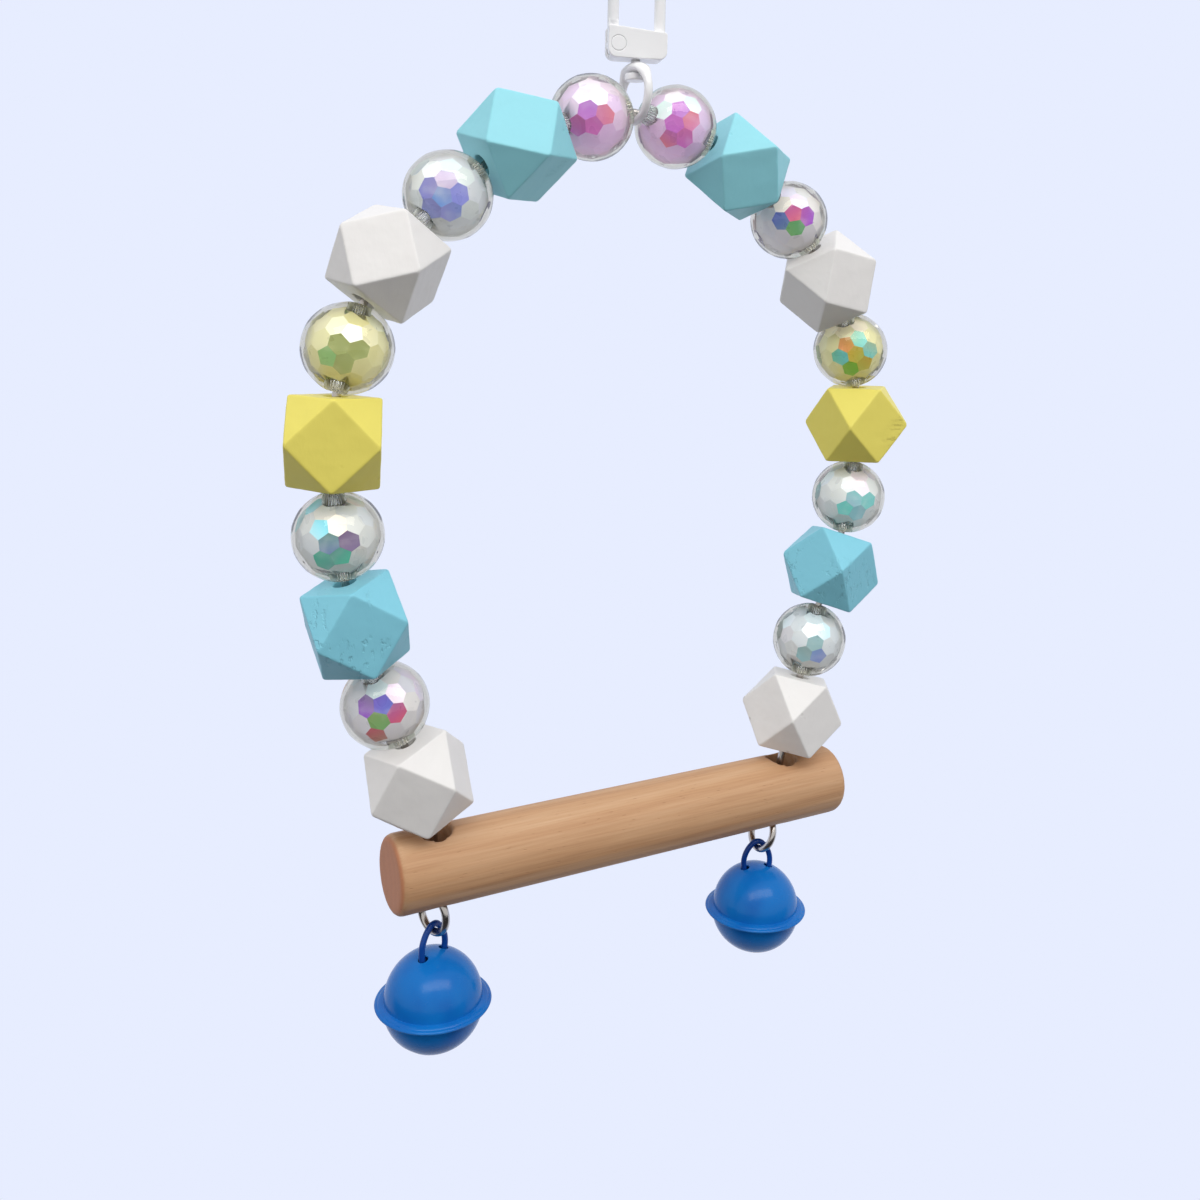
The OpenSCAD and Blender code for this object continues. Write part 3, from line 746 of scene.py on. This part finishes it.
@dataclass
class Clasp:
    """The swivel clasp: cast frame, gate, rivet, pin and the ring under them."""

    finishes: Finishes
    voxel: float = 0.1
    castings: tuple[tuple[str, str], ...] = (
        ("clasp_frame", "clasp"),
        ("clasp_gate", "gate"),
        ("gate_rivet", "clasp"),
        ("swivel_pin", "clasp"),
    )
    ring_radius: float = 5.1
    ring_wire: float = 0.8
    ring_height: float = -29.9
    yoke_half: float = 1.7
    yoke_spread: float = 2.25
    yoke_reach: float = 4.2
    drop_half: float = 1.0
    yoke_drop: float = 0.42
    drop_reach: float = 2.4
    pin_hole: float = 0.93

    def forge_ring(self) -> Workpiece:
        """Bends the ring from round bar and hammers its top out into the yoke that the pin goes through.

        Returns:
            The ring.
        """
        Workpiece.clear()
        bpy.ops.mesh.primitive_torus_add(
            major_radius=self.ring_radius, minor_radius=self.ring_wire, major_segments=128, minor_segments=36
        )
        soft = {"use_proportional_edit": True, "proportional_edit_falloff": "SMOOTH"}
        ring = Workpiece(bpy.context.object, "swivel_ring_forged")
        ring.obj.rotation_euler = (0, math.radians(90), 0)
        ring.settle()
        with ring.editing(Part.VERTEX, lambda v: v.co.z > 0 and abs(v.co.y) < self.yoke_half):
            bpy.ops.transform.resize(value=(self.yoke_spread, 1, 1), proportional_size=self.yoke_reach, **soft)
        inner = self.ring_radius - 0.3 * self.ring_wire
        with ring.editing(Part.VERTEX, lambda v: 0 < v.co.z < inner and abs(v.co.y) < self.drop_half):
            bpy.ops.transform.translate(value=(0, 0, -self.yoke_drop), proportional_size=self.drop_reach, **soft)
        ring.carve(cylinder(self.pin_hole, 6, 40, at=(0, 0, self.ring_radius)))
        ring.place(Matrix.Translation((0, 0, self.ring_height * MM)))
        return ring.shade(50)

    def build(self) -> None:
        """Softens each casting as its enamel does, forges the ring and dresses the spring."""
        for node, body in self.castings:
            piece = Workpiece.of_node(node, f"{node}_enamelled").soften(self.voxel, 4)
            piece.place(Matrix.Identity(4))
            piece.hand_over(self.finishes.white_metal, body, node)
        self.forge_ring().hand_over(self.finishes.white_metal, "ring", "swivel_ring")
        self.finishes.spring.dress(bpy.data.objects["gate_spring"])


@dataclass(frozen=True)
class Axle:
    """Where a bead sits on the wire: its middle and the lean of its bore in the arch's plane."""

    middle: Vector
    lean: float

    @staticmethod
    def of_joint(joints: Joints, name: str) -> "Axle":
        """Reads a bead's place from its joint.

        Args:
            joints: the frame's joints.
            name: the joint's name.

        Returns:
            The bead's place.
        """
        joint = next(j for j in joints if j["name"] == name)
        axis = Vector(joint["axis"])
        return Axle(Vector(joint["pos_m"]), math.atan2(axis.x, axis.z))

    def spot(self, spin: float = 0.0) -> Matrix:
        """Place of a bead that is turned about its own bore by spin degrees."""
        turn = Matrix.Rotation(self.lean, 4, "Y") @ Matrix.Rotation(math.radians(spin), 4, "Z")
        return Matrix.Translation(self.middle) @ turn


@dataclass
class WoodBlock:
    """Painted wooden bead: a cube with its corners cut to 14 flat faces."""

    size: float = 16.0
    bore: float = 2.0
    corner_cut: float = 0.5
    voxel: float = 0.22
    sanding: float = 0.00014
    sanding_size: float = 0.004

    def carve_block(self) -> Workpiece:
        """Cuts the block that all the wooden beads are copied from.

        Returns:
            The block, upright on its bore.
        """
        Workpiece.clear()
        bpy.ops.mesh.primitive_cube_add(size=self.size)
        block = Workpiece(bpy.context.object, "wood_block")
        with block.editing(Part.VERTEX):
            bpy.ops.mesh.bevel(offset_type="PERCENT", offset_pct=50, affect="VERTICES", segments=1)
            bpy.ops.mesh.remove_doubles(threshold=0.01)
        with block.editing(Part.VERTEX):
            bpy.ops.mesh.bevel(offset_type="OFFSET", offset=self.corner_cut, affect="VERTICES", segments=1)
        block.carve(cylinder(self.bore, 2 * self.size, 64))
        return block.soften(self.voxel, 4)

    def string(self, block: Workpiece, axle: Axle, spin: float, name: str, finish: Finish) -> None:
        """Copies the block to its place on the wire and gives it small faults of its own.

        Args:
            block: the block that is copied.
            axle: its place on the wire.
            spin: its turn about the wire, in degrees.
            name: the bead's CAD node.
            finish: its paint.
        """
        bead = block.copy(f"{name}_painted").place(axle.spot(spin))
        grain = bpy.data.textures.get("hand_sanding") or bpy.data.textures.new("hand_sanding", "CLOUDS")
        grain.noise_scale = self.sanding_size
        bead.modify("DISPLACE", texture=grain, texture_coords="GLOBAL", strength=self.sanding, mid_level=1.0)
        bead.hand_over(finish, f"{name}_body", name)


@dataclass
class AcrylicBead:
    """Clear acrylic bead with a faceted core inside it, whose facets carry painted highlights, painted dark
    reflection and painted shade.
    """

    radius: float = 8.1
    core_radius: float = 4.95
    bore: float = 1.6
    shell_share: float = 1.059
    core_share: float = 1.059
    rounding_share: float = 0.88
    rounding_radius: float = 0.985
    flutes: int = 12
    flute_depth: float = 0.88
    core_edge: float = 0.02
    # a facet closer than this to facing a viewer gets painted dark reflection; one that mirrors the light above
    # more closely than the next gets a painted highlight
    dark_reflection_above: float = 0.8
    highlight_above: float = 0.83
    light_rise: float = 0.85
    turn_step: float = 37.0
    facets: list[Vector] = field(default_factory=list)
    # directions towards the viewers for which the facets' reflections and highlights are painted
    views: tuple[Vector, ...] = tuple(
        Vector(view).normalized() for view in ((-0.45, -0.86, -0.12), (0.92, 0.25, -0.15), (-0.55, 0.8, -0.1))
    )

    def find_facets(self) -> None:
        """Takes the directions of the facets from a ball of triangles, whose corners they face."""
        Workpiece.clear()
        bpy.ops.mesh.primitive_ico_sphere_add(subdivisions=1, radius=1.0)
        ball = Workpiece(bpy.context.object, "facet_ball")
        with ball.editing():
            bpy.ops.mesh.subdivide(number_cuts=1)
        self.facets.extend(v.co.normalized() for v in ball.obj.data.vertices)
        bpy.data.objects.remove(ball.obj)

    @staticmethod
    def cut_gem(radius: float, facets: Sequence[Vector], name: str) -> Workpiece:
        """Cuts a faceted ball out of a cube, one facet at a time.

        Args:
            radius: distance of its facets from its middle, in millimetres.
            facets: the facets' directions.
            name: its name.

        Returns:
            The ball.
        """
        Workpiece.clear()
        bpy.ops.mesh.primitive_cube_add(size=3 * radius)
        gem = Workpiece(bpy.context.object, name)
        for normal in facets:
            with gem.editing():
                bpy.ops.mesh.bisect(
                    plane_co=normal * radius, plane_no=normal, use_fill=True, clear_outer=True, threshold=0.00001
                )
        with gem.editing():
            bpy.ops.mesh.remove_doubles(threshold=0.0005)
            bpy.ops.mesh.normals_make_consistent(inside=False)
        return gem

    def model_shell(self) -> Workpiece:
        """Moulds the clear ball: softly faceted, with a fluted bore.

        Returns:
            The ball that all the shells are copied from.
        """
        shell = self.cut_gem(self.radius / self.shell_share, self.facets, "acrylic_shell")
        shell.modify("SUBSURF", subdivision_type="SIMPLE", levels=4, render_levels=4)
        size = self.radius * self.rounding_radius
        shell.modify("CAST", cast_type="SPHERE", factor=self.rounding_share, use_radius_as_size=False, size=size)
        shell.modify("SMOOTH", factor=0.5, iterations=6)
        tool = cylinder(self.bore, 3 * self.radius, 4 * self.flutes)
        step = math.pi / (2 * self.flutes)
        with tool.editing(Part.VERTEX, lambda v: round(math.atan2(v.co.y, v.co.x) / step) % 2 == 0):
            bpy.ops.transform.resize(value=(self.flute_depth, self.flute_depth, 1))
        shell.carve(tool).shade(40)
        mesh = shell.obj.data
        bore = mesh.attributes.new("bore", "FLOAT", "POINT")
        for vertex in mesh.vertices:
            bore.data[vertex.index].value = float(math.hypot(vertex.co.x, vertex.co.y) < self.bore + 0.02)
        return shell

    def model_core(self) -> Workpiece:
        """Cuts the faceted core, with its edges just broken.

        Returns:
            The core that all the cores are copied from.
        """
        core = self.cut_gem(self.core_radius / self.core_share, self.facets, "acrylic_core")
        with core.editing(Part.EDGE):
            bpy.ops.mesh.bevel(offset=self.core_edge, affect="EDGES", segments=1)
        core.carve(cylinder(self.bore, 3 * self.core_radius, 32))
        core.pick()
        bpy.ops.object.shade_flat()
        return core

    def film(self, core: Workpiece, turn: Matrix, finish: Film, seed: int) -> None:
        """Gives each facet its film colour with painted light in it: painted reflection of the dark room where it
        faces a viewer, a painted highlight where it mirrors the light above into a view, and painted shade on the
        rest, deeper the further down it faces.

        Args:
            core: the core in its place.
            turn: the bead's turn, which carries the facets' directions.
            finish: the film's colours.
            seed: makes this bead's draw its own.
        """
        draw = random.Random(seed)
        directions = [(turn.to_3x3() @ f).normalized() for f in self.facets]
        rise = Vector((0, 0, self.light_rise))
        ends: list[tuple[Vector, Vector, Vector, bool]] = []
        for facing in directions:
            # near tells how squarely a facet faces a viewer, above how squarely it mirrors the light above into a
            # view
            near = max(facing.dot(view) - (0.1 if k else 0.0) for k, view in enumerate(self.views))
            above = max(facing.dot((view + rise).normalized()) for view in self.views)
            calm = near <= self.dark_reflection_above and above <= self.highlight_above
            palette = finish.vivid_painted_dark_reflection if near > self.dark_reflection_above else finish.pale if calm else finish.bright
            first, second = (Vector(c[:3]) for c in draw.sample(palette, 2))
            if calm:
                # painted shade: the other facets are darkened towards the shade colour, the more the further down
                # they face
                first = first.lerp(Vector(finish.painted_underside_shade[:3]), min(max(0.3 - 0.75 * facing.z, 0.0), 0.75))
            slope = Vector([draw.uniform(-1, 1) for _ in range(3)]).normalized()
            ends.append((first, first.lerp(second, 0.15 if calm else 0.45), slope, calm))
        mesh = core.obj.data
        # the film attribute holds the film colours with the painted highlights, painted dark reflection and painted
        # shade in them
        layer = mesh.color_attributes.new("film", "FLOAT_COLOR", "CORNER")
        for face in mesh.polygons:
            best = max(range(len(directions)), key=lambda k: directions[k].dot(face.normal))
            first, second, slope, calm = ends[best]
            face.use_smooth = calm
            for corner in face.loop_indices:
                arm = (mesh.vertices[mesh.loops[corner].vertex_index].co - face.center).normalized()
                layer.data[corner].color = (*first.lerp(second, 0.5 + 0.5 * arm.dot(slope)), 1.0)

    def string(
        self,
        patterns: tuple[Workpiece, Workpiece],
        axle: Axle,
        names: tuple[str, str],
        finishes: Finishes,
        film: Film,
        seed: int,
    ) -> None:
        """Copies a shell and its core to their place on the wire.

        Args:
            patterns: the shell and the core that are copied.
            axle: their place on the wire.
            names: the CAD nodes of the shell and the core.
            finishes: all finishes.
            film: the core's film.
            seed: number of the bead, for its own turn and colours.
        """
        body = f"{names[0]}_body"
        spot = axle.spot(self.turn_step * seed)
        shell, core = patterns
        inside = core.copy(f"{names[1]}_filmed").place(spot)
        self.film(inside, spot, film, seed)
        inside.hand_over(film, body, names[1])
        shell.copy(f"{names[0]}_moulded").place(spot).hand_over(finishes.shell, body, names[0])


@dataclass
class Perch:
    """The wooden dowel, with an upright hole for each leg of the wire."""

    length: float = 101.6
    radius: float = 7.45
    middle: float = 2.8
    height: float = -174.755
    edge: float = 1.3
    sides: int = 22
    voxel: float = 0.36
    hole: float = 3.4
    holes: Steps = ((-39.56, 0.0), (38.96, 13.7))

    def build(self, finishes: Finishes) -> None:
        """Turns the dowel, rounds its ends, drills it and sands it.

        Args:
            finishes: all finishes.
        """
        dowel = cylinder(self.radius, self.length, self.sides, "perch_dowel")
        top = self.length / 2
        with dowel.editing(Part.EDGE, lambda e: self._on_end(dowel, e, top)):
            bpy.ops.mesh.bevel(offset=self.edge, affect="EDGES", segments=5)
        dowel.obj.rotation_euler = (0, math.radians(90), 0)
        dowel.obj.location = (self.middle, 0, self.height)
        dowel.settle()
        for x, lean in self.holes:
            drill = cylinder(self.hole, 4 * self.radius, 48)
            tilt = Matrix.Rotation(math.radians(lean), 4, "Y")
            drill.obj.matrix_world = Matrix.Translation((x, 0, self.height)) @ tilt
            dowel.carve(drill)
        dowel.soften(self.voxel, 6).place(Matrix.Identity(4))
        dowel.hand_over(finishes.perch, "arch", "perch")

    @staticmethod
    def _on_end(dowel: Workpiece, edge: bpy.types.MeshEdge, top: float) -> bool:
        """Says whether an edge runs round one of the dowel's ends."""
        ends = [dowel.obj.data.vertices[v].co.z for v in edge.vertices]
        return abs(ends[0] - ends[1]) < 0.01 and abs(abs(ends[0]) - top) < 0.01


@dataclass
class Bell:
    """A pressed bell: a dome whose rim is rolled over the rim of a slit cup."""

    radius: float = 9.0
    rise: float = 0.4
    wall: float = 0.3
    seam: float = 0.7
    cup_swell: float = 1.055
    drop: float = 15.1
    hole_apart: float = 5.3
    hole: float = 0.96
    slit: float = 4.9
    slit_length: float = 9.8
    edge: float = 0.1
    dome_rim: Steps = (
        (9.07, 0.5), (9.25, 0.38), (9.6, 0.35), (10.3, 0.35), (10.72, 0.29), (10.93, 0.15), (11.0, -0.03),
        (10.93, -0.21), (10.72, -0.33), (10.3, -0.38), (9.75, -0.38),
    )
    cup_rim: Steps = ((9.55, -0.45), (9.58, -0.2))

    def press(self, rim: Steps, upper: bool, name: str) -> Workpiece:
        """Presses one half from a ball and draws its rim out.

        Args:
            rim: radius and height of each step of the rim.
            upper: the dome, or else the cup.
            name: its name.

        Returns:
            The half, with its wall.
        """
        Workpiece.clear()
        sign, swell = (1.0, 1.0) if upper else (-1.0, self.cup_swell)
        middle = (0, 0, sign * self.rise)
        bpy.ops.mesh.primitive_uv_sphere_add(segments=96, ring_count=64, radius=self.radius, location=middle)
        half = Workpiece(bpy.context.object, name)
        half.obj.scale = (swell, swell, 1)
        half.settle()
        cut = sign * self.seam
        with half.editing():
            bpy.ops.mesh.bisect(
                plane_co=(0, 0, cut), plane_no=(0, 0, -sign), use_fill=False, clear_outer=True, threshold=0.00001
            )
        at, height = swell * math.sqrt(self.radius**2 - (cut - sign * self.rise) ** 2), cut
        for radius, level in rim:
            with half.editing(Part.EDGE, lambda e: self._open_edge(half, e, height)):
                bpy.ops.mesh.extrude_region_move(TRANSFORM_OT_translate={"value": (0, 0, level - height)})
                bpy.ops.transform.resize(value=(radius / at, radius / at, 1))
            at, height = radius, level
        with half.editing():
            bpy.ops.mesh.normals_make_consistent(inside=False)
        return half.modify("SOLIDIFY", thickness=self.wall, offset=-1.0)

    @staticmethod
    def _open_edge(half: Workpiece, edge: bpy.types.MeshEdge, height: float) -> bool:
        """Says whether an edge lies on the ring at this height."""
        return all(abs(half.obj.data.vertices[v].co.z - height) < 0.0005 for v in edge.vertices)

    def build(self, side: Side, joints: Joints, finishes: Finishes) -> None:
        """Presses the dome and the cup, drills one and slits the other, and dresses the staple and the ball.

        Args:
            side: which bell.
            joints: the frame's joints.
            finishes: all finishes.
        """
        bell = f"{side.value}_bell"
        swing = next(j for j in joints if j["name"] == f"{bell}_swing")
        turn = math.atan2(swing["axis"][1], swing["axis"][0])
        middle = Vector(swing["pos_m"]) - Vector((0, 0, self.drop * MM))
        spot = Matrix.Translation(middle) @ Matrix.Rotation(turn, 4, "Z")
        dome = self.press(self.dome_rim, True, f"{bell}_dome_pressed")
        for x in (-self.hole_apart / 2, self.hole_apart / 2):
            dome.carve(cylinder(self.hole, 2 * self.radius, 40, at=(x, 0, self.radius)))
        cup = self.press(self.cup_rim, False, f"{bell}_cup_pressed")
        slot = cylinder(self.slit / 2, 2 * self.radius, 48, at=(0, 0, -1.2 * self.radius))
        for end in (1, -1):
            with slot.editing(Part.VERTEX, lambda v: end * v.co.x > 0.001):
                bpy.ops.transform.translate(value=(end * self.slit_length / 2, 0, 0))
        cup.carve(slot)
        for half, node in ((dome, "dome"), (cup, "cup")):
            half.modify("BEVEL", width=self.edge, segments=2, limit_method="ANGLE", angle_limit=math.radians(50))
            half.shade(38).place(spot)
            half.hand_over(finishes.blue_bell, bell, f"{bell}_{node}")
        finishes.navy.dress(bpy.data.objects[f"{bell}_staple"])
        finishes.ball.dress(bpy.data.objects[f"{bell}_ball"])


@dataclass
class Strand:
    """The beads of both legs, from the top down."""

    finishes: Finishes
    spins: Mapping[Side, tuple[float, ...]] = field(
        default_factory=lambda: {Side.LEFT: (-30, -33, -17, -7, -28), Side.RIGHT: (-26, 0, -1, 17, 8)}
    )

    def build(self, joints: Joints) -> None:
        """Models a block, a shell and a core once, and strings their copies on the wire.

        Args:
            joints: the frame's joints.
        """
        f = self.finishes
        wooden = {"sky": f.sky, "upper_white": f.white, "yellow": f.yellow, "blue": f.blue, "lower_white": f.white}
        clear = ("pink", "upper_clear", "lemon", "middle_clear", "lower_clear")
        filmed = {
            Side.LEFT: (f.pink_film, f.iris_film, f.lemon_film, f.garden_film, f.party_film),
            Side.RIGHT: (f.pink_film, f.party_film, f.lime_film, f.mint_film, f.sea_film),
        }
        first_seed = {Side.LEFT: 1, Side.RIGHT: 1 + len(clear)}
        wood, acrylic = WoodBlock(), AcrylicBead()
        acrylic.find_facets()
        block, shell, core = wood.carve_block(), acrylic.model_shell(), acrylic.model_core()
        for side in Side:
            for (name, paint), spin in zip(wooden.items(), self.spins[side]):
                stem = f"{side.value}_{name}"
                wood.string(block, Axle.of_joint(joints, f"{stem}_spin"), spin, f"{stem}_bead", paint)
            for number, (name, film) in enumerate(zip(clear, filmed[side])):
                stem = f"{side.value}_{name}"
                axle, names = Axle.of_joint(joints, f"{stem}_spin"), (f"{stem}_bead", f"{stem}_core")
                acrylic.string((shell, core), axle, names, f, film, first_seed[side] + number)
        for pattern in (block, shell, core):
            bpy.data.objects.remove(pattern.obj)


# ----------------------------------------
# Studio


@dataclass
class Studio:
    """Camera, light and floor."""

    eye: tuple[float, float, float] = (-0.1109753, -0.197584, -0.0703102)
    right: tuple[float, float, float] = (0.868618, -0.494951, 0.022934)
    up: tuple[float, float, float] = (0.038483, 0.113537, 0.992788)
    lens: float = 34.9
    shift: tuple[float, float] = (-0.0312, -0.1278)
    backdrop: Colour = srgb(231, 237, 255)
    floor_depth: float = -0.62
    away: tuple[float, float, float] = (0.494, 0.861, -0.118)
    dark: Colour = (0.05, 0.045, 0.045, 1.0)
    pale: Colour = (0.8, 0.81, 0.84, 1.0)

    def camera(self) -> None:
        """Sets the camera where the photograph was taken from."""
        data = bpy.data.cameras.new("viewer")
        data.sensor_width = 36
        data.lens = self.lens
        data.shift_x, data.shift_y = self.shift
        data.clip_start = 0.005
        data.clip_end = 50
        obj = bpy.data.objects.new("viewer", data)
        bpy.context.scene.collection.objects.link(obj)
        right, up = Vector(self.right), Vector(self.up)
        back = right.cross(up)
        turn = Matrix((right, up, back)).transposed().to_4x4()
        obj.matrix_world = Matrix.Translation(self.eye) @ turn
        bpy.context.scene.camera = obj

    def world(self) -> None:
        """A pale backdrop behind the swing, a dim room on the viewer's side and a soft ceiling over it."""
        world = bpy.data.worlds.new("studio")
        bpy.context.scene.world = world
        graph = Graph(world)
        direction = graph.node("ShaderNodeTexCoord", output="Generated")
        height = graph.node("ShaderNodeSeparateXYZ", None, {0: direction}, "Z")
        behind = graph.vector("DOT_PRODUCT", direction, self.away, "Value").ramp(-0.2, 0.11)
        room = graph.blend(height.ramp(-0.39, 0.07), (0.025, 0.022, 0.022, 1), (0.8, 0.8, 0.81, 1))
        light = graph.blend(behind, room, (0.56, 0.57, 0.6, 1))
        dome = graph.node("ShaderNodeBackground", None, {"Color": light, "Strength": 1.0})
        shown = graph.node("ShaderNodeBackground", None, {"Color": self.backdrop, "Strength": 1.0})
        graph.finish(graph.either(self._seen(graph, behind), dome, shown), "ShaderNodeOutputWorld")

    @staticmethod
    def _seen(graph: Graph, behind: Port) -> Port:
        """1 for rays that show the backdrop: from the viewer, through clear acrylic, or mirrored from behind."""
        return graph.ray("Camera").most(graph.ray("Transmission")).most(graph.ray("Glossy") * behind)

    def floor(self) -> None:
        """A wide pale floor far below, which keeps the swing's shadow near its foot."""
        Workpiece.clear()
        low = (0, 0, self.floor_depth)
        bpy.ops.mesh.primitive_circle_add(vertices=96, radius=12, fill_type="NGON", location=low)
        floor = bpy.context.object
        floor.name = "floor"
        material = bpy.data.materials.new("pale_floor")
        graph = Graph(material)
        far = graph.vector("LENGTH", graph.place(), output="Value").ramp(0.2, 0.42)
        behind = graph.vector("DOT_PRODUCT", graph.place(), self.away, "Value").ramp(-0.3, 0.25)
        dim = graph.node("ShaderNodeBsdfDiffuse", None, {"Color": graph.blend(behind, self.dark, self.pale)})
        lit = graph.node("ShaderNodeBsdfDiffuse", None, {"Color": self.backdrop})
        glow = graph.node("ShaderNodeEmission", None, {"Color": self.backdrop, "Strength": 1.0})
        graph.finish(graph.either(self._seen(graph, behind), dim, graph.either(far, lit, glow)))
        floor.data.materials.append(material)

    @staticmethod
    def lamp(
        name: str, at: Vector, aim: Vector, size: Sequence[float], power: float, colour: Sequence[float]
    ) -> None:
        """A soft box lamp.

        Args:
            name: its name.
            at: its place.
            aim: the point that it faces.
            size: its width and height.
            power: its power in watts.
            colour: its colour.
        """
        data = bpy.data.lights.new(name, "AREA")
        data.shape = "RECTANGLE"
        data.size, data.size_y = size
        data.energy = power
        data.color = colour
        obj = bpy.data.objects.new(name, data)
        bpy.context.scene.collection.objects.link(obj)
        obj.matrix_world = Matrix.Translation(at) @ (aim - at).to_track_quat("-Z", "Y").to_matrix().to_4x4()

    def build(self) -> None:
        """Sets up the whole studio."""
        bpy.context.scene.view_settings.view_transform = "Standard"
        self.camera()
        self.world()
        self.floor()
        middle = Vector((0, 0, -0.11))
        self.lamp("key", Vector((-0.1, -0.49, 0.51)), middle, (1.1, 0.3), 3.8, (1.0, 0.99, 0.97))


def main() -> None:
    """Builds the swing round its frame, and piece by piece."""
    logging.basicConfig(level=logging.INFO, format="%(message)s")
    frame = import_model()
    finishes = Finishes()
    Studio().build()
    finishes.wire.dress(bpy.data.objects["arch_wire"])
    Clasp(finishes).build()
    Strand(finishes).build(frame["joints"])
    Perch().build(finishes)
    for side in Side:
        Bell().build(side, frame["joints"], finishes)
    Workpiece.clear()


if __name__ == "__main__":
    main()
